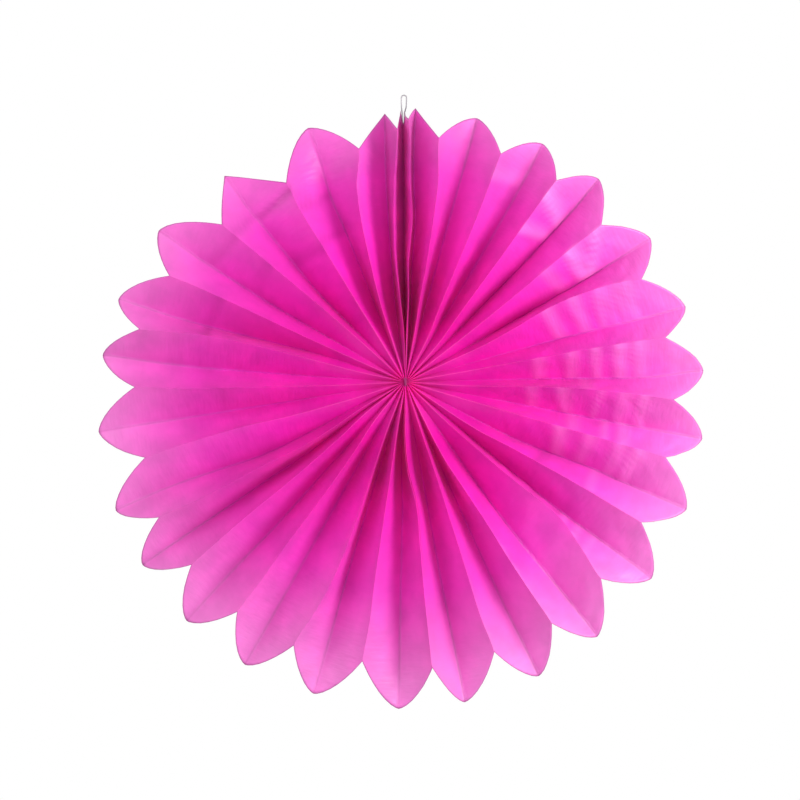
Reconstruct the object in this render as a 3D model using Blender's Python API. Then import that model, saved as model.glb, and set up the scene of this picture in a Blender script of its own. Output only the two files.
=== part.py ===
# A round tissue fan. One strip of paper is folded like an accordion, its pack is cut round at both
# ends and tied at the waist, and the two halves are opened until their end leaves meet, where they
# are glued. It hangs by a doubled thread that is knotted behind the waist and runs up behind the
# upper seam. The thread's bight is at the origin, and the face looks along -Y.
import math

import bmesh
import bpy
from mathutils import Vector

MM = 0.001

# The sheet
LEAF_WIDTH = 22.0 * MM      # one leaf, from fold to fold
SHEET = 0.3 * MM            # wall of the solid, several times that of the tissue
LEAST_RELIEF = 2.0 * MM     # the flattest that a pleat is pulled
RIM_RADIUS = 152.0 * MM     # circle that the petal tips reach
HUB_RISE = 13.0 * MM        # the tie is above the middle of that circle,
HUB_SHIFT = 2.5 * MM        # and to the right of it
ROUND_CUT = 1.55            # power of the curve that the round petals are cut to
STRAIGHT_CUT = 1.0          # and of the petals that are cut straight
STRAIGHT_PETALS = (1, 24, 26)

# The waist, where the pack is squeezed
WAIST_HEIGHT = 4.4 * MM
WAIST_DEPTH = 3.2 * MM      # between the front and the back folds
WAIST_WALL = 2.4 * MM       # most that a steep leaf takes up from front to back
WAIST_LENGTH = 3.4 * MM     # between the two halves, where the thread is wound
GATHER_FROM = 3.0 * MM      # from the hub, above and below it, where the pleats start to deepen
GATHER_REACH = 42.0 * MM    # and where they come to their full depth
SIDE_FROM = 10.0 * MM       # the same at its two sides, where the leaves are pulled flat for longer
SIDE_REACH = 52.0 * MM

# The threads
BINDING_DIAMETER = 0.5 * MM
BINDING_TURNS = 2
BINDING_PITCH = 0.6 * MM
KNOT_WIDTH = 2.0 * MM
KNOT_DEPTH = 1.5 * MM
KNOT_RISE = 1.0 * MM        # above the middle of the waist
LOOP_DIAMETER = 0.7 * MM
CLEARANCE = 0.3 * MM        # between pieces that touch

# Where the leaves are divided, as shares of the way along and across them
ROWS = (0.0, 0.02, 0.05, 0.1, 0.17, 0.27, 0.45, 0.65, 0.8, 0.9, 1.0)
COLUMNS = (0.0, 0.25, 0.5, 0.75, 1.0)
SLOT_ROWS = 2               # rows next to the waist where both seams are open for the binding
PARTED_ROW = 9              # row past which the glue of the upper seam has let go

# Each petal, clockwise from the seam at the top: the direction of its valley fold and how far its
# tip stops inside the rim circle, then the same for the ridge fold after it (degrees, inset steps).
# The first row's valley and the last edge are the two edges of the upper seam.
INSET_STEP = 1.0 * MM
PETALS = (
    (0.1, 3.5, 0.7, 8.8),
    (2.1, 1.0, 7.8, 16.7),
    (15.2, 1.8, 22.7, 16.4),
    (30.0, 1.4, 36.8, 15.1),
    (43.6, -0.2, 51.3, 17.0),
    (59.6, 0.3, 66.5, 15.4),
    (74.9, 0.0, 80.3, 15.8),
    (87.8, -1.6, 93.8, 16.2),
    (100.8, -0.6, 106.2, 18.0),
    (114.4, -0.3, 120.8, 19.6),
    (128.6, -0.2, 135.2, 20.4),
    (143.0, 0.8, 148.8, 21.5),
    (155.6, 0.8, 161.8, 22.6),
    (169.5, 1.2, 174.6, 22.7),
    (181.2, 1.4, 188.8, 25.0),
    (196.4, 2.6, 203.0, 22.5),
    (209.6, 1.5, 216.2, 22.5),
    (222.5, 0.6, 229.5, 22.3),
    (235.2, 0.1, 241.2, 20.2),
    (246.1, -0.4, 253.8, 22.5),
    (260.8, 0.1, 268.9, 19.4),
    (275.1, -0.3, 281.2, 16.4),
    (286.1, 0.0, 294.2, 19.7),
    (301.5, 1.7, 310.6, 24.8),
    (318.7, 6.0, 329.1, 26.3),
    (339.0, 4.8, 348.7, 20.9),
    (355.6, 3.8, 358.1, 13.7),
)
LAST_EDGE = (358.95, 2.0)
LOWER_SEAM = 27             # the ridge at the bottom, where the other end leaves are glued

# The hanging thread's route from the knot, over the bight and back (millimetres from the hub)
LOOP_ROUTE = (
    (-0.45, 4.3, 2.3),
    (-0.55, 6.3, 6.0),
    (-0.65, 8.3, 10.0),
    (-0.75, 10.3, 15.0),
    (-0.85, 11.9, 20.5),
    (-0.95, 12.9, 28.0),
    (-1.05, 13.1, 40.0),
    (-1.4, 13.1, 80.0),
    (-1.55, 13.1, 130.0),
    (-1.98, 13.1, 139.0),
    (-2.05, 13.1, 143.85),
    (-1.67, 13.1, 144.77),
    (-0.75, 13.1, 145.15),
    (0.17, 13.1, 144.77),
    (0.55, 13.1, 143.85),
    (0.36, 13.1, 139.0),
    (-0.75, 13.1, 130.0),
    (0.3, 13.1, 80.0),
    (0.65, 13.1, 40.0),
    (0.7, 12.9, 28.0),
    (0.7, 11.9, 20.5),
    (0.65, 10.3, 15.0),
    (0.6, 8.3, 10.0),
    (0.55, 6.3, 6.0),
    (0.45, 4.3, 2.3),
)
BIGHT = 12                  # the route's highest point
ROUTE_STEPS = 3             # straight pieces between two points of the route

# The hook bears on the inside of the bight, which is the origin
HUB = -Vector(LOOP_ROUTE[BIGHT]) * MM + Vector((0.0, 0.0, LOOP_DIAMETER / 2))


def clear_scene():
    for obj in list(bpy.data.objects):
        bpy.data.objects.remove(obj, do_unlink=True)


def material(name, colour, roughness):
    made = bpy.data.materials.new(name)
    made.use_nodes = True
    shader = made.node_tree.nodes["Principled BSDF"]
    shader.inputs["Base Color"].default_value = (*colour, 1.0)
    shader.inputs["Roughness"].default_value = roughness
    shader.inputs["Metallic"].default_value = 0.0
    return made


def add_object(name, data, look):
    obj = bpy.data.objects.new(name, data)
    bpy.context.scene.collection.objects.link(obj)
    obj.location = HUB
    data.materials.append(look)
    return obj


def heading(degrees):
    turn = math.radians(degrees)
    return Vector((math.sin(turn), 0.0, math.cos(turn)))


def rim_reach(direction):
    # Distance from the hub to the rim circle, which is centred below and left of it
    centre = Vector((-HUB_SHIFT, 0.0, -HUB_RISE))
    along = centre.dot(direction)
    return along + math.sqrt(RIM_RADIUS**2 - centre.length_squared + along**2)


def fold_table():
    # Direction and inset of every fold, clockwise from one edge of the upper seam to the other
    table = []
    for valley, tip_inset, ridge, notch_inset in PETALS:
        table += [(valley, tip_inset), (ridge, notch_inset)]
    return table + [LAST_EDGE]


def rim_point(degrees, inset):
    direction = heading(degrees)
    return direction * (rim_reach(direction) - inset * INSET_STEP)


class Fold:
    # One fold line, from its half's side of the waist to its place on the rim
    def __init__(self, index, half):
        table = fold_table()
        self.index = index
        self.front = index % 2 == 1
        self.root = Vector((half * WAIST_LENGTH / 2, 0.0, 0.0))
        self.tip = rim_point(*table[index])
        # The edges of a seam run together to the point between their tips
        self.seam = index in (0, LOWER_SEAM, len(table) - 1)
        self.shared = self.tip
        if index != LOWER_SEAM and self.seam:
            self.shared = (rim_point(*table[0]) + rim_point(*table[-1])) / 2

    def ends_at(self, row):
        # Where the line would start and end if it were straight as it is at this row
        if not self.seam:
            return self.root, self.tip
        joined = max(0.0, 1.0 - row / SLOT_ROWS)
        parted = max(0.0, (row - PARTED_ROW) / (len(ROWS) - 1 - PARTED_ROW))
        return self.root * joined, self.shared.lerp(self.tip, parted)

    def radius(self, row):
        start = WAIST_HEIGHT / 2
        root, tip = self.ends_at(row)
        return start + ((tip - root).length - start) * ROWS[row]

    def place(self, radius, row):
        root, tip = self.ends_at(row)
        return root + (tip - root).normalized() * radius


def folds_of(half):
    last = len(fold_table()) - 1
    indices = range(LOWER_SEAM + 1) if half > 0 else range(LOWER_SEAM, last + 1)
    return [Fold(i, half) for i in indices]


def opening(first, second, radius):
    # 0 in the squeezed pack and 1 where the leaf between two folds has its full depth
    table = fold_table()
    middle = math.radians((table[first.index][0] + table[second.index][0]) / 2)
    sideways = math.sin(middle) ** 2
    start = GATHER_FROM + (SIDE_FROM - GATHER_FROM) * sideways
    reach = GATHER_REACH + (SIDE_REACH - GATHER_REACH) * sideways
    opened = min(1.0, max(0.0, (radius - start) / (reach - start)))
    return opened**2 * (3.0 - 2.0 * opened)


def relief(first, second, radius, row):
    # How far a leaf runs from front to back, and the share of it that its wall takes in that direction
    across = (first.place(radius, row) - second.place(radius, row)).length
    depth = math.sqrt(max(LEAF_WIDTH**2 - across**2, LEAST_RELIEF**2))
    depth = WAIST_DEPTH + (depth - WAIST_DEPTH) * opening(first, second, radius)
    wall = min(SHEET * math.hypot(across, depth) / across, WAIST_WALL)
    return depth, wall


def fold_levels(folds, number, radius, row):
    # The fold's place from front to back, from the leaves on either side of it
    beside = []
    if number > 0:
        beside.append(relief(folds[number - 1], folds[number], radius, row))
    if number < len(folds) - 1:
        beside.append(relief(folds[number], folds[number + 1], radius, row))
    depth = sum(d for d, wall in beside) / len(beside)
    wall = sum(wall for d, wall in beside) / len(beside)
    return (-depth if folds[number].front else depth) / 2, wall


def petal_power(first):
    # Leaf 2k-1 and leaf 2k meet in the valley fold of petal k
    petal = (first.index + 1) // 2
    return STRAIGHT_CUT if petal in STRAIGHT_PETALS else ROUND_CUT


def leaf_point(folds, number, share, row):
    # A point of the leaf after the numbered fold: its place on the sheet, and the wall there
    first = folds[number]
    if share == 0.0 or number == len(folds) - 1:
        radius = first.radius(row)
        level, wall = fold_levels(folds, number, radius, row)
        return first.place(radius, row) + Vector((0.0, level, 0.0)), wall
    second = folds[number + 1]
    rise = share if first.front else 1.0 - share
    cut = 1.0 - (1.0 - rise) ** petal_power(first)
    ridge, valley = (first, second) if first.front else (second, first)
    radius = ridge.radius(row) + (valley.radius(row) - ridge.radius(row)) * cut
    here, wall_here = fold_levels(folds, number, radius, row)
    there, wall_there = fold_levels(folds, number + 1, radius, row)
    place = first.place(radius, row).lerp(second.place(radius, row), share)
    level = here + (there - here) * share
    return place + Vector((0.0, level, 0.0)), wall_here + (wall_there - wall_here) * share


def half_columns(bm, folds):
    # Columns of vertex pairs, front and back, from one edge of the half to the other
    columns = []
    for number in range(len(folds)):
        shares = COLUMNS[:-1] if number < len(folds) - 1 else COLUMNS[:1]
        for share in shares:
            column = []
            for row in range(len(ROWS)):
                place, wall = leaf_point(folds, number, share, row)
                step = Vector((0.0, wall / 2, 0.0))
                column.append((bm.verts.new(place - step), bm.verts.new(place + step)))
            columns.append(column)
    return columns


def face_between(bm, corners):
    # Two triangles, or one where two corners are the same vertex
    a, b, c, d = corners
    for triangle in ((a, b, c), (a, c, d)):
        if len(set(triangle)) == 3:
            bm.faces.new(triangle)


def skin(bm, columns):
    for left, right in zip(columns, columns[1:]):
        for row in range(len(ROWS) - 1):
            for side in (0, 1):
                face_between(bm, (left[row][side], right[row][side],
                                  right[row + 1][side], left[row + 1][side]))
        face_between(bm, (left[-1][0], right[-1][0], right[-1][1], left[-1][1]))


def seam(bm, column, other, open_rows):
    # The two edges become one line where they are glued
    for row in range(len(ROWS)):
        if row not in open_rows:
            for side in (0, 1):
                bm.verts.remove(other[row][side])
            other[row] = column[row]


def edge_wall(bm, column, open_rows):
    for row in range(len(ROWS) - 1):
        if row in open_rows or row + 1 in open_rows:
            face_between(bm, (column[row][0], column[row][1], column[row + 1][1], column[row + 1][0]))


def waist(bm, right, left):
    # The squeezed pack: front and back skins over the ends of all leaves, and a wall above and below
    ring = [column[0] for column in right] + [column[0] for column in left]
    for side, direction in ((0, -1.0), (1, 1.0)):
        middle = bm.verts.new((0.0, direction * (WAIST_DEPTH + WAIST_WALL) / 2, 0.0))
        for this, following in zip(ring, ring[1:] + ring[:1]):
            bm.faces.new((middle, this[side], following[side]))
    for one, other in ((left[-1], right[0]), (right[-1], left[0])):
        face_between(bm, (one[0][0], one[0][1], other[0][1], other[0][0]))


def build_paper():
    bm = bmesh.new()
    right = half_columns(bm, folds_of(1))
    left = half_columns(bm, folds_of(-1))
    slot = range(SLOT_ROWS)
    parted = range(PARTED_ROW + 1, len(ROWS))
    seam(bm, right[-1], left[0], slot)
    seam(bm, right[0], left[-1], (*slot, *parted))
    skin(bm, right)
    skin(bm, left)
    for column in (right[-1], left[0]):
        edge_wall(bm, column, slot)
    for column in (right[0], left[-1]):
        edge_wall(bm, column, (*slot, *parted))
    waist(bm, right, left)
    bmesh.ops.recalc_face_normals(bm, faces=bm.faces)
    mesh = bpy.data.meshes.new("pleated_paper")
    bm.to_mesh(mesh)
    bm.free()
    return mesh


def thread_curve(name, points, diameter):
    curve = bpy.data.curves.new(name, "CURVE")
    curve.dimensions = "3D"
    curve.bevel_depth = diameter / 2
    curve.bevel_resolution = 2
    curve.use_fill_caps = True
    spline = curve.splines.new("POLY")
    spline.points.add(len(points) - 1)
    for spot, place in zip(spline.points, points):
        spot.co = (*place, 1.0)
    return curve


def smooth_route(points, steps):
    # Catmull-Rom through the route's own points
    route = [points[0]]
    for n in range(len(points) - 1):
        a, b = points[max(n - 1, 0)], points[n]
        c, d = points[n + 1], points[min(n + 2, len(points) - 1)]
        for step in range(1, steps + 1):
            t = step / steps
            route.append((b * 2 + (c - a) * t + (a * 2 - b * 5 + c * 4 - d) * t**2
                          + (b * 3 - a - c * 3 + d) * t**3) / 2)
    return route


def binding_route():
    # Turns round the waist's section, which starts and ends in the knot at the back
    bend = CLEARANCE + BINDING_DIAMETER / 2
    half_depth = (WAIST_DEPTH + WAIST_WALL) / 2
    half_height = WAIST_HEIGHT / 2
    turn = [Vector((0.0, half_depth + bend, KNOT_RISE))]
    for corner, (side, end) in enumerate(((1, 1), (-1, 1), (-1, -1), (1, -1))):
        for quarter in (0.0, 1 / 3, 2 / 3, 1.0):
            angle = math.radians(90 * (corner + quarter))
            turn.append(Vector((0.0, side * half_depth + bend * math.cos(angle),
                                end * half_height + bend * math.sin(angle))))
    points = turn * BINDING_TURNS + turn[:1]
    spread = BINDING_PITCH * BINDING_TURNS
    return [p + Vector((spread * (n / (len(points) - 1) - 0.5), 0.0, 0.0))
            for n, p in enumerate(points)]


def build_binding():
    curve = thread_curve("binding_thread", binding_route(), BINDING_DIAMETER)
    guide = bpy.data.objects.new("binding_guide", curve)
    mesh = bpy.data.meshes.new_from_object(guide)
    bpy.data.objects.remove(guide)
    mesh.name = "binding_thread"
    return mesh


def build_knot():
    bm = bmesh.new()
    bmesh.ops.create_uvsphere(bm, u_segments=16, v_segments=10, radius=0.5)
    bmesh.ops.scale(bm, vec=(KNOT_WIDTH, KNOT_DEPTH, KNOT_WIDTH), verts=bm.verts)
    seat = (WAIST_DEPTH + WAIST_WALL) / 2 + CLEARANCE + KNOT_DEPTH / 2
    bmesh.ops.translate(bm, vec=(0.0, seat, KNOT_RISE), verts=bm.verts)
    mesh = bpy.data.meshes.new("binding_knot")
    bm.to_mesh(mesh)
    bm.free()
    return mesh


def main():
    clear_scene()
    tissue = material("magenta_tissue_paper", (0.80, 0.04, 0.45), 0.85)
    dyed = material("magenta_cotton_thread", (0.45, 0.01, 0.2), 0.9)
    cotton = material("white_cotton_thread", (0.62, 0.61, 0.60), 0.9)

    add_object("pleated_paper", build_paper(), tissue)

    binding = add_object("binding_thread", build_binding(), dyed)
    knot = add_object("knot_guide", build_knot(), dyed)
    knot.hide_render = True
    knot.display_type = "WIRE"
    join = binding.modifiers.new("knot", "BOOLEAN")
    join.operation = "UNION"
    join.object = knot

    route = smooth_route([Vector(p) * MM for p in LOOP_ROUTE], ROUTE_STEPS)
    add_object("hanging_loop", thread_curve("hanging_loop", route, LOOP_DIAMETER), cotton)


main()
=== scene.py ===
import math

import bpy
import numpy as np
from mathutils import Matrix, Vector


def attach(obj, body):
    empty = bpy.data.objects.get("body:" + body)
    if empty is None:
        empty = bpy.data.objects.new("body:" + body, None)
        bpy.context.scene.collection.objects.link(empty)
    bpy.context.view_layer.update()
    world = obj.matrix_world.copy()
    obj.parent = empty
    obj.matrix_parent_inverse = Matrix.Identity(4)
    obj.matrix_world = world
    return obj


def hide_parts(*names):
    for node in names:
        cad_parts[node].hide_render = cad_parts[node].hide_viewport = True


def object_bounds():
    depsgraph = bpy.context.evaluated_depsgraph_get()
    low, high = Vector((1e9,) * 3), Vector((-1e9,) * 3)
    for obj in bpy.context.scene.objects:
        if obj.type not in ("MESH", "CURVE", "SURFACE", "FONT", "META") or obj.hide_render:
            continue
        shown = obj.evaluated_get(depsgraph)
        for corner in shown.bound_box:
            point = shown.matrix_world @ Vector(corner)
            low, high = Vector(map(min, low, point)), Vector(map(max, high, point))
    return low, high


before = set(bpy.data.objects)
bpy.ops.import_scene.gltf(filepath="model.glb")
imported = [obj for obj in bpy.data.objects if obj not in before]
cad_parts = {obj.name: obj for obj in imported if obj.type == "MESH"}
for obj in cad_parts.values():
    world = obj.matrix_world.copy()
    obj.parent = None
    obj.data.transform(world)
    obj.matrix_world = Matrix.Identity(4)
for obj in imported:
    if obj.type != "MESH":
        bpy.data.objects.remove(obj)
cadLow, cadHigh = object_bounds()
mm = 0.001
scene = bpy.context.scene


def wire(tree, kind, inputs=(), out=0, **settings):
    # Adds a node, makes its settings, links or sets its inputs (by order or by name), gives one output
    node = tree.nodes.new(kind)
    for name, value in settings.items():
        setattr(node, name, value)
    pairs = inputs.items() if isinstance(inputs, dict) else enumerate(inputs)
    for socket, value in pairs:
        if isinstance(value, bpy.types.NodeSocket):
            tree.links.new(value, node.inputs[socket])
        elif value is not None:
            node.inputs[socket].default_value = value
    return node if out is None or not node.outputs else node.outputs[out]


def fromHex(code):
    # sRGB hex to the linear colour that shaders take
    parts = [int(code[i:i + 2], 16) / 255 for i in (1, 3, 5)]
    return (*[c / 12.92 if c <= 0.04045 else ((c + 0.055) / 1.055) ** 2.4 for c in parts], 1.0)


def linkToScene(obj):
    scene.collection.objects.link(obj)
    return obj


def newTree(name, sockets):
    # A geometry tree with named inputs, given as (name, socket type, default)
    tree = bpy.data.node_groups.new(name, "GeometryNodeTree")
    tree.interface.new_socket(name="Geometry", in_out="INPUT", socket_type="NodeSocketGeometry")
    for label, kind, default in sockets:
        socket = tree.interface.new_socket(name=label, in_out="INPUT", socket_type="NodeSocket" + kind)
        if default is not None:
            socket.default_value = default
    tree.interface.new_socket(name="Geometry", in_out="OUTPUT", socket_type="NodeSocketGeometry")
    return tree


def grown(guide, tree, values, name):
    # Runs a geometry tree on a guide object and keeps the result as a plain mesh
    modifier = guide.modifiers.new("grow", "NODES")
    modifier.node_group = tree
    for item in tree.interface.items_tree:
        if item.in_out == "INPUT" and item.name in values:
            modifier[item.identifier] = values[item.name]
    depsgraph = bpy.context.evaluated_depsgraph_get()
    mesh = bpy.data.meshes.new_from_object(
        guide.evaluated_get(depsgraph), preserve_all_data_layers=True, depsgraph=depsgraph)
    bpy.data.objects.remove(guide)
    mesh.name = name
    print(name, "has", sum(len(p.vertices) - 2 for p in mesh.polygons), "triangles")
    return linkToScene(bpy.data.objects.new(name, mesh))


# The hanging thread's route from the knot, over the bight and back, in millimetres from the hub
loopRoute = (
    (-0.45, 4.3, 2.3), (-0.55, 6.3, 6.0), (-0.65, 8.3, 10.0), (-0.75, 10.3, 15.0),
    (-0.85, 11.9, 20.5), (-0.95, 12.9, 28.0), (-1.05, 13.1, 40.0), (-1.4, 13.1, 80.0),
    (-1.55, 13.1, 130.0), (-1.98, 13.1, 139.0), (-2.05, 13.1, 143.85), (-1.67, 13.1, 144.77),
    (-0.75, 13.1, 145.15),
    (0.17, 13.1, 144.77), (0.55, 13.1, 143.85), (0.36, 13.1, 139.0), (-0.75, 13.1, 130.0),
    (0.3, 13.1, 80.0), (0.65, 13.1, 40.0), (0.7, 12.9, 28.0), (0.7, 11.9, 20.5),
    (0.65, 10.3, 15.0), (0.6, 8.3, 10.0), (0.55, 6.3, 6.0), (0.45, 4.3, 2.3),
)
loop = {"diameter": 0.7 * mm, "bight": 12, "plies": 3, "lay": 2.2 * mm, "step": 0.35 * mm,
        "routeSteps": 3}

# The frame's origin is the inside of the bight, so the hub follows from the route
hub = Vector((0, 0, loop["diameter"] / 2)) - Vector(loopRoute[loop["bight"]]) * mm


# Camera, light and stage
stage = {"frameWidth": 400 * mm, "lens": 100.0, "sensor": 36.0, "aside": -2.75 * mm, "below": 9 * mm,
         "floorDrop": 350 * mm, "floorRadius": 4.0, "clearRadius": 0.5, "whiteRadius": 1.2,
         "floorColour": "#E9E9E9", "ambient": 0.64}
lamps = {  # place from the hub, size in metres, power in watts
    "keyFromTheRight": ((0.52, -0.36, 0.04), 0.3, 4.5),
    "fillFromTheLeft": ((-0.75, -0.5, 0.15), 0.6, 2.4),
    "softFront": ((0.0, -0.8, 0.75), 0.6, 3.4),
}


def buildCamera():
    data = bpy.data.cameras.new("camera")
    data.lens, data.sensor_width = stage["lens"], stage["sensor"]
    camera = linkToScene(bpy.data.objects.new("camera", data))
    distance = stage["frameWidth"] * stage["lens"] / stage["sensor"]
    camera.location = hub + Vector((stage["aside"], -distance, -stage["below"]))
    camera.rotation_euler = (math.radians(90), 0, 0)
    scene.camera = camera


def seenDirectly(tree):
    # 1 for what the camera sees, straight or by reflection or through glass, and 0 for light on the object
    rays = wire(tree, "ShaderNodeLightPath", out=None).outputs
    plain = wire(tree, "ShaderNodeMath", (rays["Is Camera Ray"], rays["Is Glossy Ray"]), operation="MAXIMUM")
    return wire(tree, "ShaderNodeMath", (plain, rays["Is Transmission Ray"]), operation="MAXIMUM")


def buildLamps():
    for name, (place, size, power) in lamps.items():
        data = bpy.data.lights.new(name, "AREA")
        data.shape, data.size, data.energy = "DISK", size, power
        lamp = linkToScene(bpy.data.objects.new(name, data))
        lamp.location = hub + Vector(place)
        lamp.rotation_euler = Vector(place).to_track_quat("Z", "Y").to_euler()
    world = bpy.data.worlds.new("softRoom")
    world.use_nodes = True
    scene.world = world
    tree = world.node_tree
    tree.nodes.clear()
    seen = seenDirectly(tree)
    strength = wire(tree, "ShaderNodeMix", {0: seen, 2: stage["ambient"], 3: 1.0})
    light = wire(tree, "ShaderNodeBackground", {"Color": (1, 1, 1, 1), "Strength": strength})
    wire(tree, "ShaderNodeOutputWorld", {"Surface": light})


def buildFloor():
    # A pale floor that keeps the shadow near the fan and turns white further out
    material = bpy.data.materials.new("paleFloor")
    material.use_nodes = True
    tree = material.node_tree
    tree.nodes.clear()
    place = wire(tree, "ShaderNodeTexCoord", out="Object")
    away = wire(tree, "ShaderNodeVectorMath", (place,), out="Value", operation="LENGTH")
    far = wire(tree, "ShaderNodeMapRange", {"Value": away, "From Min": stage["clearRadius"],
                                            "From Max": stage["whiteRadius"]},
               interpolation_type="SMOOTHSTEP")
    share = wire(tree, "ShaderNodeMath", (far, seenDirectly(tree)), operation="MULTIPLY")
    matt = wire(tree, "ShaderNodeBsdfDiffuse", {"Color": fromHex(stage["floorColour"])})
    white = wire(tree, "ShaderNodeEmission", {"Color": (1, 1, 1, 1), "Strength": 1.0})
    wire(tree, "ShaderNodeOutputMaterial",
         {"Surface": wire(tree, "ShaderNodeMixShader", (share, matt, white))})
    bpy.ops.mesh.primitive_circle_add(vertices=96, radius=stage["floorRadius"], fill_type="NGON")
    floor = bpy.context.object
    floor.name = "floor"
    floor.location = (hub.x, hub.y, cadLow.z - stage["floorDrop"])
    floor.data.materials.append(material)


buildCamera()
buildLamps()
buildFloor()
print("camera, lamps and floor are up")


# Cotton thread: spun fibre, quite matt, with soft light and dark along its plies. The plies' radius and
# their distance from the thread's middle are shares of its diameter
cotton = {"roughness": 0.85, "sheen": 0.3, "fibre": 0.25 * mm, "patch": 6 * mm, "fuzz": 0.05 * mm,
          "plyRadius": 0.33, "offCentre": 0.17, "plySides": 7}


def cottonMaterial(name, light, dark):
    material = bpy.data.materials.new(name)
    material.use_nodes = True
    tree = material.node_tree
    shader = tree.nodes["Principled BSDF"]
    shader.inputs["Roughness"].default_value = cotton["roughness"]
    shader.inputs["Sheen Weight"].default_value = cotton["sheen"]
    shader.inputs["Sheen Roughness"].default_value = 0.5
    place = wire(tree, "ShaderNodeTexCoord", out="Object")
    fibre = wire(tree, "ShaderNodeTexNoise", {"Vector": place, "Scale": 1 / cotton["fibre"], "Detail": 2.0})
    patch = wire(tree, "ShaderNodeTexNoise", {"Vector": place, "Scale": 1 / cotton["patch"], "Detail": 1.0})
    blend = wire(tree, "ShaderNodeMath", (fibre, patch), operation="MULTIPLY")
    spread = wire(tree, "ShaderNodeMapRange", {"Value": blend, "From Min": 0.12, "From Max": 0.42})
    colour = wire(tree, "ShaderNodeMix", {0: spread, 6: fromHex(dark), 7: fromHex(light)}, out=2,
                  data_type="RGBA")
    tree.links.new(colour, shader.inputs["Base Color"])
    bump = wire(tree, "ShaderNodeBump", {"Height": fibre, "Strength": 0.5, "Distance": cotton["fuzz"]})
    tree.links.new(bump, shader.inputs["Normal"])
    return material


def twistedThreadTree():
    # Lays plies round a path like a rope and gives each a round section
    tree = newTree("twistedThread", [("Plies", "Int", 3), ("Diameter", "Float", 0.0007),
                                     ("Lay", "Float", 0.002), ("Step", "Float", 0.0004),
                                     ("Material", "Material", None)])
    given = wire(tree, "NodeGroupInput", out=None).outputs
    # The plies are pressed into each other, and reach the thread's full width
    plyRadius, offCentre = [wire(tree, "ShaderNodeMath", (given["Diameter"], cotton[share]),
                                 operation="MULTIPLY") for share in ("plyRadius", "offCentre")]
    path = wire(tree, "GeometryNodeResampleCurve", {"Curve": given["Geometry"], "Length": given["Step"]},
                mode="LENGTH")
    copies = wire(tree, "GeometryNodeDuplicateElements", {"Geometry": path, "Amount": given["Plies"]},
                  out=None, domain="SPLINE").outputs
    along = wire(tree, "GeometryNodeSplineParameter", out="Length")
    turns = wire(tree, "ShaderNodeMath", (along, given["Lay"]), operation="DIVIDE")
    shift = wire(tree, "ShaderNodeMath", (copies["Duplicate Index"], given["Plies"]), operation="DIVIDE")
    angle = wire(tree, "ShaderNodeMath", (wire(tree, "ShaderNodeMath", (turns, shift)), math.tau),
                 operation="MULTIPLY")
    normal = wire(tree, "GeometryNodeInputNormal")
    across = wire(tree, "ShaderNodeVectorMath", (wire(tree, "GeometryNodeInputTangent"), normal),
                  operation="CROSS_PRODUCT")
    steps = []
    for direction, function in ((normal, "COSINE"), (across, "SINE")):
        share = wire(tree, "ShaderNodeMath", (angle,), operation=function)
        steps.append(wire(tree, "ShaderNodeVectorMath", {0: direction, "Scale": share}, operation="SCALE"))
    outward = wire(tree, "ShaderNodeVectorMath",
                   {0: wire(tree, "ShaderNodeVectorMath", steps), "Scale": offCentre}, operation="SCALE")
    plies = wire(tree, "GeometryNodeSetPosition", {"Geometry": copies["Geometry"], "Offset": outward})
    section = wire(tree, "GeometryNodeCurvePrimitiveCircle", {"Resolution": cotton["plySides"],
                                                               "Radius": plyRadius})
    tubes = wire(tree, "GeometryNodeCurveToMesh", {"Curve": plies, "Profile Curve": section,
                                                   "Fill Caps": True})
    smooth = wire(tree, "GeometryNodeSetShadeSmooth", {"Geometry": tubes})
    real = wire(tree, "GeometryNodeRealizeInstances", {"Geometry": smooth})
    done = wire(tree, "GeometryNodeSetMaterial", {"Geometry": real, "Material": given["Material"]})
    wire(tree, "NodeGroupOutput", {"Geometry": done})
    return tree


def pathObject(name, routes):
    curve = bpy.data.curves.new(name, "CURVE")
    curve.dimensions = "3D"
    for points in routes:
        spline = curve.splines.new("POLY")
        spline.points.add(len(points) - 1)
        for spot, place in zip(spline.points, points):
            spot.co = (*place, 1)
    return linkToScene(bpy.data.objects.new(name, curve))


def smoothRoute(points, steps):
    # Catmull-Rom through the given points
    route = [points[0]]
    for n in range(len(points) - 1):
        a, b = points[max(n - 1, 0)], points[n]
        c, d = points[n + 1], points[min(n + 2, len(points) - 1)]
        for step in range(1, steps + 1):
            t = step / steps
            route.append((b * 2 + (c - a) * t + (a * 2 - b * 5 + c * 4 - d) * t**2
                          + (b * 3 - a - c * 3 + d) * t**3) / 2)
    return route


def buildLoop(tree):
    route = [hub + p for p in smoothRoute([Vector(p) * mm for p in loopRoute], loop["routeSteps"])]
    guide = pathObject("loopPath", [route])
    # The thread's two greys are painted light and shade on a white thread, its lit and its shaded grey,
    # mixed at random along the plies
    greyWhite = cottonMaterial("greyWhiteCottonThread", "#B8B6B8", "#75727A")
    thread = grown(guide, tree, {"Plies": loop["plies"], "Diameter": loop["diameter"], "Lay": loop["lay"],
                                 "Step": loop["step"], "Material": greyWhite}, "hangingLoop")
    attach(thread, "root")
    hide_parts("hanging_loop")


threadTree = twistedThreadTree()
buildLoop(threadTree)


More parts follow.
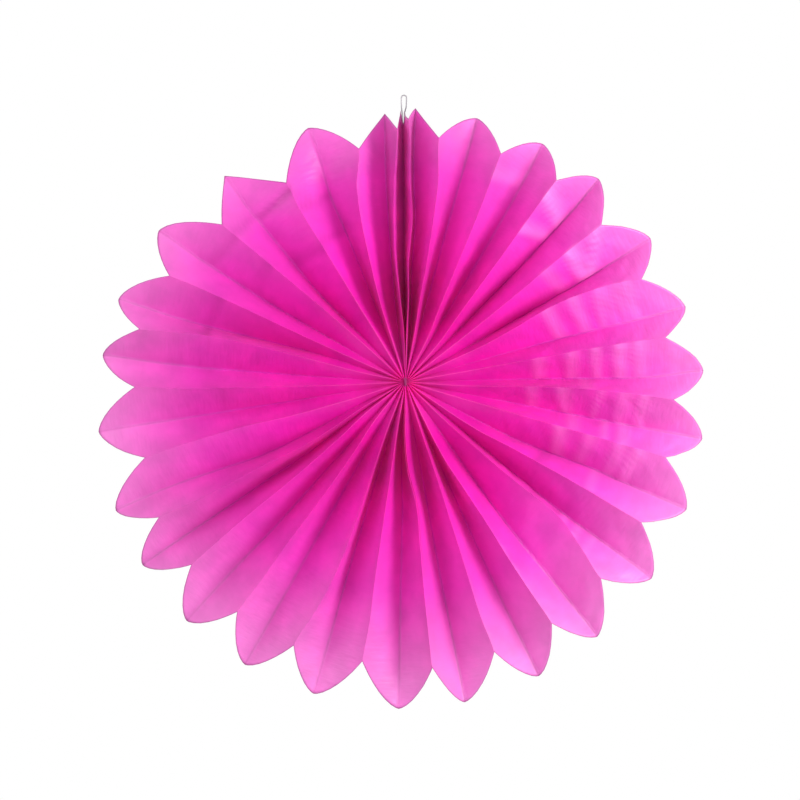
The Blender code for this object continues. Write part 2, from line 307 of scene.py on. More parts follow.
# The fan's fold lines. Each row is one petal, clockwise from the seam at the top: the direction of its
# valley fold at the rim in degrees, how far its tip stops inside the rim circle in millimetres, then
# the same for the ridge fold after it
petals = (
    (0.1, 3.5, 0.7, 8.8), (2.1, 1.0, 7.8, 16.7), (15.2, 1.8, 22.7, 16.4), (30.0, 1.4, 36.8, 15.1),
    (43.6, -0.2, 51.3, 17.0), (59.6, 0.3, 66.5, 15.4), (74.9, 0.0, 80.3, 15.8),
    (87.8, -1.6, 93.8, 16.2), (100.8, -0.6, 106.2, 18.0), (114.4, -0.3, 120.8, 19.6),
    (128.6, -0.2, 135.2, 20.4), (143.0, 0.8, 148.8, 21.5), (155.6, 0.8, 161.8, 22.6),
    (169.5, 1.2, 174.6, 22.7), (181.2, 1.4, 188.8, 25.0), (196.4, 2.6, 203.0, 22.5),
    (209.6, 1.5, 216.2, 22.5), (222.5, 0.6, 229.5, 22.3), (235.2, 0.1, 241.2, 20.2),
    (246.1, -0.4, 253.8, 22.5), (260.8, 0.1, 268.9, 19.4), (275.1, -0.3, 281.2, 16.4),
    (286.1, 0.0, 294.2, 19.7), (301.5, 1.7, 310.6, 24.8), (318.7, 6.0, 329.1, 26.3),
    (339.0, 4.8, 348.7, 20.9), (355.6, 3.8, 358.1, 13.7),
)
lastEdge = (358.95, 2.0)

# Where each fold runs inside the rim: its direction in degrees at these distances from the hub. A fold
# that isn't here runs straight
stations = (20 * mm, 40 * mm, 60 * mm, 80 * mm, 100 * mm, 120 * mm)
drift = {
    1: (1.2, 2.0, 1.3, 2.4, 1.2, 1.0), 2: (6.0, 4.2, 3.4, 3.5, 2.4, 2.0),
    3: (10.5, 9.9, 10.1, 9.8, 9.3, 7.9), 4: (15.0, 15.0, 15.0, 15.1, 15.2, 15.3),
    5: (27.0, 24.7, 23.9, 23.6, 23.2, 22.9), 6: (31.5, 31.0, 31.0, 30.9, 30.7, 30.4),
    7: (41.0, 38.7, 37.8, 37.4, 37.0, 36.8), 8: (46.0, 45.5, 45.2, 45.0, 44.6, 44.3),
    9: (52.5, 52.2, 51.9, 51.5, 51.2, 51.3), 10: (61.0, 60.8, 60.6, 60.5, 60.4, 60.0),
    11: (64.5, 65.0, 63.8, 62.7, 63.6, 65.4), 12: (74.0, 74.0, 74.2, 74.4, 74.7, 75.0),
    13: (80.0, 80.0, 80.0, 80.0, 80.0, 80.2), 14: (88.5, 88.5, 88.7, 88.8, 89.0, 89.0),
    15: (94.0, 93.0, 92.3, 92.2, 92.7, 93.3), 16: (101.0, 101.0, 101.0, 101.0, 101.0, 101.0),
    18: (118.0, 118.0, 117.5, 116.2, 115.0, 114.8), 19: (124.5, 124.0, 122.0, 121.2, 120.8, 120.8),
    20: (130.5, 130.3, 130.2, 130.1, 130.0, 129.3), 21: (134.5, 133.5, 132.8, 131.9, 131.3, 133.4),
    22: (145.0, 145.0, 145.0, 144.8, 144.4, 143.7), 23: (154.0, 153.5, 151.4, 150.2, 149.8, 149.3),
    24: (158.0, 157.5, 157.0, 156.6, 156.4, 156.2), 25: (162.5, 162.0, 162.0, 162.1, 162.2, 162.3),
    26: (170.5, 170.0, 170.0, 170.0, 169.9, 169.7), 27: (181.0, 179.0, 174.8, 174.7, 174.8, 174.7),
    28: (184.5, 183.0, 181.6, 181.4, 181.4, 181.3), 29: (190.0, 189.3, 189.0, 188.9, 188.8, 188.5),
    30: (197.0, 196.8, 196.8, 196.8, 196.8, 196.6), 31: (201.0, 200.2, 199.6, 199.6, 200.0, 201.2),
    33: (219.0, 216.5, 215.9, 216.0, 216.2, 216.0), 34: (222.5, 222.0, 222.0, 222.0, 222.0, 222.4),
    35: (232.5, 230.0, 229.4, 229.5, 229.8, 229.7), 36: (236.0, 234.5, 234.0, 234.6, 234.8, 235.0),
    37: (239.5, 237.8, 238.0, 239.6, 240.0, 240.4), 38: (244.0, 242.5, 242.3, 242.8, 244.5, 245.7),
    39: (252.0, 252.8, 253.5, 254.5, 254.5, 254.2), 40: (260.0, 260.3, 260.5, 260.7, 260.7, 260.8),
    41: (267.0, 267.4, 267.7, 267.9, 268.0, 268.5), 42: (273.5, 273.5, 273.7, 273.9, 274.0, 274.4),
    43: (282.0, 283.2, 283.6, 283.5, 283.1, 282.0), 44: (288.0, 288.0, 287.0, 286.2, 285.7, 285.6),
    45: (294.0, 294.0, 294.2, 294.4, 294.5, 294.4), 46: (300.0, 300.0, 300.0, 300.1, 300.5, 300.8),
    47: (312.5, 312.0, 311.5, 311.0, 310.8, 310.6), 48: (316.5, 315.7, 315.5, 316.5, 317.3, 317.8),
    49: (329.0, 328.5, 328.5, 328.5, 328.5, 329.1), 50: (338.5, 338.5, 338.5, 338.4, 338.0, 339.0),
    51: (342.0, 342.2, 343.5, 344.5, 346.0, 348.7), 52: (351.5, 352.5, 353.3, 354.0, 354.5, 355.1),
    53: (358.3, 356.2, 355.2, 355.8, 356.8, 357.8),
}

fan = {"leafWidth": 22 * mm, "leastRelief": 2 * mm, "rimRadius": 152 * mm, "hubRise": 13 * mm,
       "hubShift": 2.5 * mm, "roundCut": 1.55, "straightCut": 1.0, "straightPetals": (1, 24, 26),
       "waistHeight": 3.2 * mm, "waistDepth": 3.2 * mm, "waistSpread": 0.8 * mm,
       "waistTurn": 1.0 * mm, "packFade": 14 * mm, "gatherFrom": 3 * mm, "gatherReach": 42 * mm,
       "sideFrom": 26 * mm, "sideReach": 90 * mm, "lowerSeam": 27,
       "glueLap": 0.4 * mm, "glueStep": 0.12 * mm, "partedFrom": 0.93,
       "lapFrom": 4 * mm, "lapReach": 10 * mm, "tipClear": 8 * mm,
       "guideStep": 2 * mm, "guideReach": 176 * mm, "hubSteps": (0.35, 0.7, 1.0, 1.5), "foldEase": 0.6,
       "columns": 8, "rows": 104, "rowCrowding": 1.15, "thickness": 0.09 * mm, "weld": 0.002 * mm,
       "billow": 0.9 * mm, "billowFrom": 15 * mm, "billowReach": 80 * mm,
       "looseFrom": 35 * mm, "looseReach": 75 * mm, "looseEdges": 0.6,
       "mostCrumpled": 15, "crumpledNear": 6, "crumpledFar": 10, "leastCrumpled": 0.35,
       "rippleHeight": 0.5 * mm, "rippleSpacing": 10.5 * mm, "rippleWander": 2.6, "patch": 28 * mm,
       "facetHeight": 1.5 * mm, "facetLength": 12 * mm, "facetWidth": 16 * mm,
       "creaseGain": 0.9, "creaseStep": 3 * mm, "creaseTop": 0.3, "creaseFoot": 0.2,
       "wrinkleHeight": 0.4 * mm, "wrinkleFrom": 10 * mm, "wrinkleReach": 60 * mm,
       "wrinkleLength": 25 * mm, "seed": 4}

# Creases across single leaves: the leaf, clockwise from the upper seam for the right half, and
# anticlockwise from it, counted on from 28, for the left. Then, in millimetres, the crease's distance
# from the hub, how much further out it lies at the valley than at the ridge, how far the sheet is
# raised inwards and outwards of it, and how high, which is below zero for a dent
creases = (
    (5, 112, 4, 4, 9, 0.5), (7, 97, 7, 4, 9, 0.9), (7, 111, -6, 5, 11, 1.2),
    (9, 88, 4, 4, 8, 0.5), (9, 101.5, 0, 2, 11, 1.2), (9, 112, -14, 2, 9, 0.9),
    (11, 78, 3, 4, 8, 0.7), (11, 92, 2, 3, 7, 0.8), (11, 104, -2, 2, 4, 0.9), (11, 109, 0, 1.5, 3.5, 0.6),
    (11, 114.5, 0, 1.5, 3.5, 0.6), (11, 119.5, 0, 1.5, 5, 0.8),
    (13, 65, 0, 4, 8, 0.6), (13, 82, 0, 3, 7, 0.8), (13, 95, 1, 2, 5, 1.0), (13, 106, 0, 2.5, 8, 1.1),
    (13, 116, 0, 1.5, 8, 0.9), (13, 134, 2, 2, 5, 0.5),
    (14, 88, 0, 3, 8, 0.4), (15, 78, 4, 4, 8, 0.7), (15, 97, -2, 6, 1.5, 0.9), (15, 107, 0, 2, 8, 0.7),
    (15, 118, 0, 1.5, 5, 1.0), (15, 62, 2, 4, 7, 0.5),
    (16, 84, 0, 3, 8, 0.5), (16, 101.5, 0, 1.5, 4, 0.7), (16, 110, 0, 2, 8, 0.7),
    (17, 80, 4, 3, 8, 0.8), (17, 94, 0, 3, 7, 0.6), (17, 110, 0, 2, 6, 0.7), (17, 119, -2, 2, 6, 0.9),
    (18, 75, 0, 1.5, 8, -0.6), (18, 104, 0, 2, 6, 0.5),
    (20, 103, 0, 2, 5, 0.6), (20, 112, 0, 2, 5, 0.6), (20, 122, 0, 2, 4, 0.5),
    (38, 102, 0, 1.5, 4, -0.9), (37, 101, 3, 2, 5, -0.4), (35, 111, 3, 2, 6, -0.5), (35, 86, -3, 3, 8, -0.4),
    (33, 110, -1, 1.5, 3.5, -1.1), (33, 78, 4, 4, 9, -0.5), (34, 112, 0, 2, 4, -0.6),
    (32, 100, 0, 2, 4, -0.6), (32, 81, 0, 1.5, 3, -0.6), (41, 90, 0, 5, 8, -0.4), (40, 96, 3, 4, 9, -0.4),
)


def foldTable():
    table = []
    for valley, tipInset, ridge, notchInset in petals:
        table += [(valley, tipInset), (ridge, notchInset)]
    return table + [lastEdge]


def rimReach(degrees):
    # Distance from the hub to the rim circle, which is centred below and left of it
    turn = math.radians(degrees)
    along = -fan["hubShift"] * math.sin(turn) - fan["hubRise"] * math.cos(turn)
    off = fan["hubShift"]**2 + fan["hubRise"]**2
    return along + math.sqrt(fan["rimRadius"]**2 - off + along**2)


def smoothThrough(known, values, at):
    # Catmull-Rom curve through known values, held level past both ends
    known, values = np.array(known), np.array(values)
    slopes = np.gradient(values, known)
    slopes[0] = slopes[-1] = 0.0
    at = np.clip(at, known[0], known[-1])
    n = np.clip(np.searchsorted(known, at) - 1, 0, len(known) - 2)
    gap = known[n + 1] - known[n]
    t = (at - known[n]) / gap
    return ((2 * t**3 - 3 * t**2 + 1) * values[n] + (t**3 - 2 * t**2 + t) * gap * slopes[n]
            + (3 * t**2 - 2 * t**3) * values[n + 1] + (t**3 - t**2) * gap * slopes[n + 1])


def foldTurn(index, radii):
    # The fold's direction at each distance from the hub, in radians
    table = foldTable()
    degrees, inset = table[index]
    tip = rimReach(degrees) - inset * mm
    inner = drift.get(index, (degrees,) * len(stations))
    if index in (0, len(table) - 1):
        # The upper seam's two edges share one line until they part near their tips
        middle = (table[0][0] + table[-1][0] + 360) / 2 - (360 if index == 0 else 0)
        stops, turns = (fan["partedFrom"] * tip, tip), (middle, degrees)
    else:
        kept = [i for i, r in enumerate(stations) if r < tip - fan["tipClear"]]
        stops = [stations[i] for i in kept] + [tip]
        turns = [inner[i] for i in kept] + [degrees]
    return np.radians(smoothThrough(stops, turns, radii))


def foldPlace(index, half, radii):
    # The fold's line in the plane of the fan, out from the middle of the waist
    order = index if half > 0 else len(foldTable()) - 1 - index
    height = (0.5 - order / fan["lowerSeam"]) * fan["waistHeight"]
    turn = foldTurn(index, radii)
    ray = np.stack([np.sin(turn), np.cos(turn)])
    beside = np.stack([-np.cos(turn), np.sin(turn)]) * half * (1 - 2 * order / fan["lowerSeam"])
    spread = fan["waistSpread"] * (beside + np.array([[half], [0.0]]))
    fade = np.clip(1 - radii / fan["packFade"], 0, 1)**2
    outside = ray * radii + spread * fade
    turned = np.clip(radii / fan["waistTurn"], 0, 1)
    return outside * turned + np.array([[0.0], [height]]) * (1 - turned)


def leafDepth(first, second, half, radii):
    # How far the leaf between two folds runs from front to back. It starts flat, and at the two sides of
    # the hub it stays so for longer
    gap = np.linalg.norm(foldPlace(first, half, radii) - foldPlace(second, half, radii), axis=0)
    depth = np.sqrt(np.maximum(fan["leafWidth"]**2 - gap**2, fan["leastRelief"]**2))
    sideways = abs(math.sin(math.radians((foldTable()[first][0] + foldTable()[second][0]) / 2)))
    start = fan["gatherFrom"] + (fan["sideFrom"] - fan["gatherFrom"]) * sideways
    reach = fan["gatherReach"] + (fan["sideReach"] - fan["gatherReach"]) * sideways
    opened = np.clip((radii - start) / (reach - start), 0, 1)
    return fan["waistDepth"] + (depth - fan["waistDepth"]) * opened**2 * (3 - 2 * opened)


def foldLevel(index, half, radii):
    first, last = (0, fan["lowerSeam"]) if half > 0 else (fan["lowerSeam"], len(foldTable()) - 1)
    beside = [leafDepth(k, k + 1, half, radii) for k in (index - 1, index) if first <= k and k + 1 <= last]
    return sum(beside) / len(beside) / 2 * (-1 if index % 2 else 1)


def foldLines():
    # A guide of 28 fold lines on the right half, then 28 on the left, each out from the waist
    table = foldTable()
    radii = np.arange(0, fan["guideReach"], fan["guideStep"])
    radii = np.insert(radii, 1, [step * mm for step in fan["hubSteps"]])
    places, levels, tips, cuts, edges = [], [], [], [], []
    for half in (1, -1):
        for order in range(fan["lowerSeam"] + 1):
            index = order if half > 0 else len(table) - 1 - order
            x, z = foldPlace(index, half, radii)
            level = foldLevel(index, half, radii)
            if order in (0, fan["lowerSeam"]):
                lap = np.clip((radii - fan["lapFrom"]) / fan["lapReach"], 0, 1)
                tip = rimReach(table[index][0])
                if order == 0:
                    lap = lap * np.clip((1 - radii / tip) / (1 - fan["partedFrom"]), 0, 1)
                x = x - half * fan["glueLap"] * lap
                level = level - half * fan["glueStep"] * lap
            petal = (index + 1) // 2
            start = len(places)
            places += [(a, 0.0, b) for a, b in zip(x, z)]
            levels += list(level)
            tips += [rimReach(table[index][0]) - table[index][1] * mm] * len(radii)
            straight = petal % len(petals) in fan["straightPetals"] or index in (0, len(table) - 1)
            cuts += [fan["straightCut"] if straight else fan["roundCut"]] * len(radii)
            edges += [(n, n + 1) for n in range(start, len(places) - 1)]
    mesh = bpy.data.meshes.new("foldLines")
    mesh.from_pydata(places, edges, [])
    fold = mesh.attributes.new("fold", "FLOAT_VECTOR", "POINT")
    fold.data.foreach_set("vector", np.stack([levels, tips, cuts], axis=1).ravel())
    return linkToScene(bpy.data.objects.new("foldLines", mesh))


def pleatTree():
    # Hangs 27 leaves between the fold lines of both halves, cuts the petals, and crumples the sheet
    tree = newTree("pleatedTissue", [
        ("Leaves", "Int", 27), ("Columns", "Int", 12), ("Rows", "Int", 72), ("Row Crowding", "Float", 1.2),
        ("Thickness", "Float", 0.0001), ("Billow", "Float", 0.0005), ("Ripple Height", "Float", 0.0005),
        ("Ripple Spacing", "Float", 0.011), ("Facet Height", "Float", 0.001),
        ("Facet Length", "Float", 0.011), ("Facet Width", "Float", 0.017),
        ("Leaf Width", "Float", 0.022), ("Wrinkle Height", "Float", 0.0003), ("Seed", "Int", 1),
        ("Material", "Material", None)])
    given = wire(tree, "NodeGroupInput", out=None).outputs
    across = wire(tree, "ShaderNodeMath", (given["Leaves"], given["Columns"], 1.0), operation="MULTIPLY_ADD")
    along = wire(tree, "ShaderNodeMath", (given["Rows"], 2.0, 1.0), operation="MULTIPLY_ADD")
    grid = wire(tree, "GeometryNodeMeshGrid", {"Size X": given["Leaves"], "Size Y": 2.0,
                                               "Vertices X": across, "Vertices Y": along})
    place = wire(tree, "ShaderNodeSeparateXYZ", (wire(tree, "GeometryNodeInputPosition"),), out=None).outputs

    # Which leaf a point is on, and its share of the way across it, closer together at the folds
    middle = wire(tree, "ShaderNodeMath", (given["Leaves"], 0.5), operation="MULTIPLY")
    strip = wire(tree, "ShaderNodeMath", (place["X"], middle))
    last = wire(tree, "ShaderNodeMath", (given["Leaves"], 1.0), operation="SUBTRACT")
    whole = wire(tree, "ShaderNodeMath", (strip,), operation="FLOOR")
    leaf = wire(tree, "ShaderNodeMath", (whole, last), operation="MINIMUM")
    even = wire(tree, "ShaderNodeMath", (strip, leaf), operation="SUBTRACT")
    eased = wire(tree, "ShaderNodeMapRange", {"Value": even}, interpolation_type="SMOOTHSTEP")
    share = wire(tree, "ShaderNodeMix", {0: fan["foldEase"], 2: even, 3: eased})

    # Odd folds are ridges, so the share from ridge to valley is turned round on every other leaf
    odd = wire(tree, "ShaderNodeMath", (leaf, 2.0), operation="MODULO")
    notOdd = wire(tree, "ShaderNodeMath", (1.0, odd), operation="SUBTRACT")
    toValley = wire(tree, "ShaderNodeMath", (share, notOdd), operation="SUBTRACT")
    toValley = wire(tree, "ShaderNodeMath", (toValley,), operation="ABSOLUTE")
    left = wire(tree, "ShaderNodeMath", (place["Y"], 0.0), operation="LESS_THAN")
    halfStart = wire(tree, "ShaderNodeMath",
                     (left, wire(tree, "ShaderNodeMath", (given["Leaves"], 1.0))), operation="MULTIPLY")
    leafFold = wire(tree, "ShaderNodeMath", (leaf, halfStart))
    ridge = wire(tree, "ShaderNodeMath", (leafFold, notOdd))
    valley = wire(tree, "ShaderNodeMath", (leafFold, odd))
    reach = wire(tree, "ShaderNodeMath",
                 (wire(tree, "ShaderNodeMath", (place["Y"],), operation="ABSOLUTE"), given["Row Crowding"]),
                 operation="POWER")

    # The rim's curve: from the ridge's notch out to the valley's tip
    guide = wire(tree, "GeometryNodeMeshToCurve", {"Mesh": given["Geometry"]})
    fold = wire(tree, "GeometryNodeInputNamedAttribute", {"Name": "fold"}, data_type="FLOAT_VECTOR")
    facts = []
    for which in (ridge, valley):
        found = wire(tree, "GeometryNodeSampleCurve",
                     {"Curves": guide, "Value": fold, "Factor": 0.0, "Curve Index": which},
                     out=None, mode="FACTOR", data_type="FLOAT_VECTOR").outputs["Value"]
        facts.append(wire(tree, "ShaderNodeSeparateXYZ", (found,), out=None).outputs)
    notchTip, petalTip, cut = facts[0]["Y"], facts[1]["Y"], facts[1]["Z"]
    fromValley = wire(tree, "ShaderNodeMath", (1.0, toValley), operation="SUBTRACT")
    cutAway = wire(tree, "ShaderNodeMath", (fromValley, cut), operation="POWER")
    rise = wire(tree, "ShaderNodeMath", (1.0, cutAway), operation="SUBTRACT")
    rim = wire(tree, "ShaderNodeMix", {0: rise, 2: notchTip, 3: petalTip})
    radius = wire(tree, "ShaderNodeMath", (rim, reach), operation="MULTIPLY")
    toRim = wire(tree, "ShaderNodeMath", (rim, radius), operation="SUBTRACT")

    # The place between the two folds at that distance from the hub
    ends, levels = [], []
    for which in (ridge, valley):
        found = wire(tree, "GeometryNodeSampleCurve",
                     {"Curves": guide, "Value": fold, "Length": radius, "Curve Index": which},
                     out=None, mode="LENGTH", data_type="FLOAT_VECTOR").outputs
        ends.append(found["Position"])
        levels.append(wire(tree, "ShaderNodeSeparateXYZ", (found["Value"],), out="X"))
    flat = wire(tree, "ShaderNodeMix", {0: toValley, 4: ends[0], 5: ends[1]}, out=1, data_type="VECTOR")
    level = wire(tree, "ShaderNodeMix", {0: toValley, 2: levels[0], 3: levels[1]})
    folded = wire(tree, "ShaderNodeVectorMath",
                  (flat, wire(tree, "ShaderNodeCombineXYZ", {"Y": level})))

    # What the next steps and the material read off the sheet
    sheet = grid
    for name, value in (("outward", radius), ("toValley", toValley), ("toRim", toRim), ("strip", strip),
                        ("leaf", leafFold)):
        sheet = wire(tree, "GeometryNodeStoreNamedAttribute",
                     {"Geometry": sheet, "Name": name, "Value": value}, data_type="FLOAT", domain="POINT")
    sheet = wire(tree, "GeometryNodeSetPosition", {"Geometry": sheet, "Position": folded})
    read = {name: wire(tree, "GeometryNodeInputNamedAttribute", {"Name": name}, data_type="FLOAT")
            for name in ("outward", "toValley", "strip", "leaf")}

    # Each leaf bows a little, to one side or the other
    chance = wire(tree, "FunctionNodeRandomValue",
                  {2: -1.0, 3: 1.0, "ID": wire(tree, "FunctionNodeFloatToInt", (read["leaf"],)),
                   "Seed": given["Seed"]}, out=1, data_type="FLOAT")
    inside = wire(tree, "ShaderNodeMath", (1.0, read["toValley"]), operation="SUBTRACT")
    product = wire(tree, "ShaderNodeMath", (inside, read["toValley"]), operation="MULTIPLY")
    bow = wire(tree, "ShaderNodeMath", (product, 4.0), operation="MULTIPLY")
    opened = wire(tree, "ShaderNodeMapRange",
                  {"Value": read["outward"], "From Min": fan["billowFrom"], "From Max": fan["billowReach"]},
                  interpolation_type="SMOOTHSTEP")
    billow = bow
    for factor in (chance, opened, given["Billow"]):
        billow = wire(tree, "ShaderNodeMath", (billow, factor), operation="MULTIPLY")

    # The leaves on the right are crumpled the most
    fromRight = wire(tree, "ShaderNodeMath", (read["leaf"], fan["mostCrumpled"]), operation="SUBTRACT")
    fromRight = wire(tree, "ShaderNodeMath", (fromRight,), operation="ABSOLUTE")
    crumpled = wire(tree, "ShaderNodeMapRange",
                    {"Value": fromRight, "From Min": fan["crumpledNear"], "From Max": fan["crumpledFar"],
                     "To Min": 1.0, "To Max": fan["leastCrumpled"]})
    loose = wire(tree, "ShaderNodeMapRange",
                 {"Value": read["outward"], "From Min": fan["looseFrom"], "From Max": fan["looseReach"]},
                 interpolation_type="SMOOTHSTEP")
    softened = wire(tree, "ShaderNodeMath", (bow, fan["looseEdges"]), operation="POWER")
    free = softened
    for factor in (loose, crumpled):
        free = wire(tree, "ShaderNodeMath", (free, factor), operation="MULTIPLY")

    # Creases across the leaves, left from the packet, in patches. Each leaf has its own stretch of noise
    leafShift = wire(tree, "ShaderNodeMath", (read["leaf"], 5.37), operation="MULTIPLY")
    spot = wire(tree, "ShaderNodeCombineXYZ",
                {"X": wire(tree, "ShaderNodeMath", (read["outward"], fan["patch"]), operation="DIVIDE"),
                 "Y": read["toValley"], "Z": leafShift})
    wander = wire(tree, "ShaderNodeTexNoise", {"Vector": spot, "Scale": 0.7, "Detail": 1.0})
    patches = wire(tree, "ShaderNodeTexNoise", {"Vector": spot, "Scale": 1.3, "Detail": 1.0})
    patch = wire(tree, "ShaderNodeMapRange", {"Value": patches, "From Min": 0.42, "From Max": 0.58},
                 interpolation_type="SMOOTHSTEP")
    phase = wire(tree, "ShaderNodeMath", (read["outward"], given["Ripple Spacing"]), operation="DIVIDE")
    phase = wire(tree, "ShaderNodeMath", (wander, fan["rippleWander"], phase), operation="MULTIPLY_ADD")
    phase = wire(tree, "ShaderNodeMath", (phase, leafShift))
    ripple = wire(tree, "ShaderNodeMath", (phase, 0.5), operation="PINGPONG")
    for factor in (patch, free, given["Ripple Height"]):
        ripple = wire(tree, "ShaderNodeMath", (ripple, factor), operation="MULTIPLY")

    # Flat facets with a crease between them
    outFacets = wire(tree, "ShaderNodeMath", (read["outward"], given["Facet Length"]), operation="DIVIDE")
    facetShift = wire(tree, "ShaderNodeMath", (read["leaf"], 7.3), operation="MULTIPLY")
    sideways = wire(tree, "ShaderNodeMath", (read["toValley"], given["Leaf Width"]), operation="MULTIPLY")
    cell = wire(tree, "ShaderNodeCombineXYZ",
                {"X": wire(tree, "ShaderNodeMath", (outFacets, facetShift)),
                 "Y": wire(tree, "ShaderNodeMath", (sideways, given["Facet Width"]), operation="DIVIDE")})
    facet = wire(tree, "ShaderNodeTexVoronoi", {"Vector": cell, "Scale": 1.0, "Randomness": 0.9},
                 out="Distance", voronoi_dimensions="2D", feature="DISTANCE_TO_EDGE")
    for factor in (free, given["Facet Height"]):
        facet = wire(tree, "ShaderNodeMath", (facet, factor), operation="MULTIPLY")

    # The single creases, each like a low roof across its leaf. Past each one the sheet is painted paler, a
    # painted highlight where the raised facet catches the light, and darker past a dent, as painted shade
    paler = 0.0
    for number, middleOf, slant, inwards, outwards, high in creases:
        here = wire(tree, "ShaderNodeMath", (read["toValley"], -slant * mm, (slant / 2 - middleOf) * mm),
                    operation="MULTIPLY_ADD")
        here = wire(tree, "ShaderNodeMath", (here, read["outward"]))
        inner = wire(tree, "ShaderNodeMath", (here, 1 / (inwards * mm), 1.0), operation="MULTIPLY_ADD")
        outer = wire(tree, "ShaderNodeMath", (here, -1 / (outwards * mm), 1.0), operation="MULTIPLY_ADD")
        band = wire(tree, "ShaderNodeMath", (outer, 0.0), operation="MAXIMUM")
        past = wire(tree, "ShaderNodeMapRange",
                    {"Value": here, "From Min": -fan["creaseStep"], "From Max": fan["creaseStep"]},
                    interpolation_type="SMOOTHSTEP")
        band = wire(tree, "ShaderNodeMath", (band, past), operation="MULTIPLY")
        roof = wire(tree, "ShaderNodeMath", (inner, outer, fan["creaseTop"]), operation="SMOOTH_MIN")
        roof = wire(tree, "ShaderNodeMath", (roof, 0.0, fan["creaseFoot"]), operation="SMOOTH_MAX")
        onLeaf = wire(tree, "ShaderNodeMath", (read["leaf"], number, 0.1), operation="COMPARE")
        band = wire(tree, "ShaderNodeMath", (band, onLeaf), operation="MULTIPLY")
        paler = wire(tree, "ShaderNodeMath", (band, high, paler), operation="MULTIPLY_ADD")
        for factor in (onLeaf, softened):
            roof = wire(tree, "ShaderNodeMath", (roof, factor), operation="MULTIPLY")
        facet = wire(tree, "ShaderNodeMath", (roof, fan["creaseGain"] * high * mm, facet),
                     operation="MULTIPLY_ADD")

    # Fine wrinkles where the leaves are gathered
    gathered = wire(tree, "ShaderNodeMapRange",
                    {"Value": read["outward"], "From Min": fan["wrinkleFrom"],
                     "From Max": fan["wrinkleReach"], "To Min": 1.0, "To Max": 0.0})
    outWrinkles = wire(tree, "ShaderNodeMath", (read["outward"], 1 / fan["wrinkleLength"]),
                       operation="MULTIPLY")
    line = wire(tree, "ShaderNodeCombineXYZ",
                {"X": wire(tree, "ShaderNodeMath", (read["strip"], 4.0), operation="MULTIPLY"),
                 "Y": outWrinkles,
                 "Z": wire(tree, "ShaderNodeMath", (left, 9.0), operation="MULTIPLY")})
    wrinkled = wire(tree, "ShaderNodeTexNoise", {"Vector": line, "Scale": 1.0, "Detail": 1.0})
    wrinkle = wire(tree, "ShaderNodeMath", (wrinkled, 0.5), operation="SUBTRACT")
    for factor in (gathered, softened, given["Wrinkle Height"]):
        wrinkle = wire(tree, "ShaderNodeMath", (wrinkle, factor), operation="MULTIPLY")

    height = billow
    for relief in (ripple, facet, wrinkle):
        height = wire(tree, "ShaderNodeMath", (height, relief))
    lift = wire(tree, "ShaderNodeVectorMath", {0: wire(tree, "GeometryNodeInputNormal"), "Scale": height},
                operation="SCALE")
    sheet = wire(tree, "GeometryNodeStoreNamedAttribute",
                 {"Geometry": sheet, "Name": "paler", "Value": paler}, data_type="FLOAT", domain="POINT")
    sheet = wire(tree, "GeometryNodeSetPosition", {"Geometry": sheet, "Offset": lift})

    # The wall: the sheet pushed out along its normals, and the sheet itself turned over
    pushed = wire(tree, "GeometryNodeExtrudeMesh",
                  {"Mesh": sheet, "Offset Scale": given["Thickness"], "Individual": False}, mode="FACES")
    turned = wire(tree, "GeometryNodeFlipFaces", {"Mesh": sheet})
    both = tree.nodes.new("GeometryNodeJoinGeometry")
    for part in (pushed, turned):
        tree.links.new(part, both.inputs[0])
    solid = wire(tree, "GeometryNodeMergeByDistance", {"Geometry": both.outputs[0], "Distance": fan["weld"]})
    smooth = wire(tree, "GeometryNodeSetShadeSmooth", {"Geometry": solid})
    nearest = wire(tree, "ShaderNodeMath", (read["strip"],), operation="ROUND")
    offFold = wire(tree, "ShaderNodeMath", (read["strip"], nearest), operation="SUBTRACT")
    offFold = wire(tree, "ShaderNodeMath", (offFold,), operation="ABSOLUTE")
    onFold = wire(tree, "ShaderNodeMath", (offFold, 0.001), operation="LESS_THAN")
    oddFold = wire(tree, "ShaderNodeMath", (nearest, 2.0), operation="MODULO")
    onRidge = wire(tree, "ShaderNodeMath", (oddFold, onFold), operation="MULTIPLY")
    sharp = wire(tree, "GeometryNodeSetShadeSmooth", {"Geometry": smooth, "Selection": onRidge,
                                                      "Shade Smooth": False}, domain="EDGE")
    real = wire(tree, "GeometryNodeRealizeInstances", {"Geometry": sharp})
    done = wire(tree, "GeometryNodeSetMaterial", {"Geometry": real, "Material": given["Material"]})
    wire(tree, "NodeGroupOutput", {"Geometry": done})
    return tree


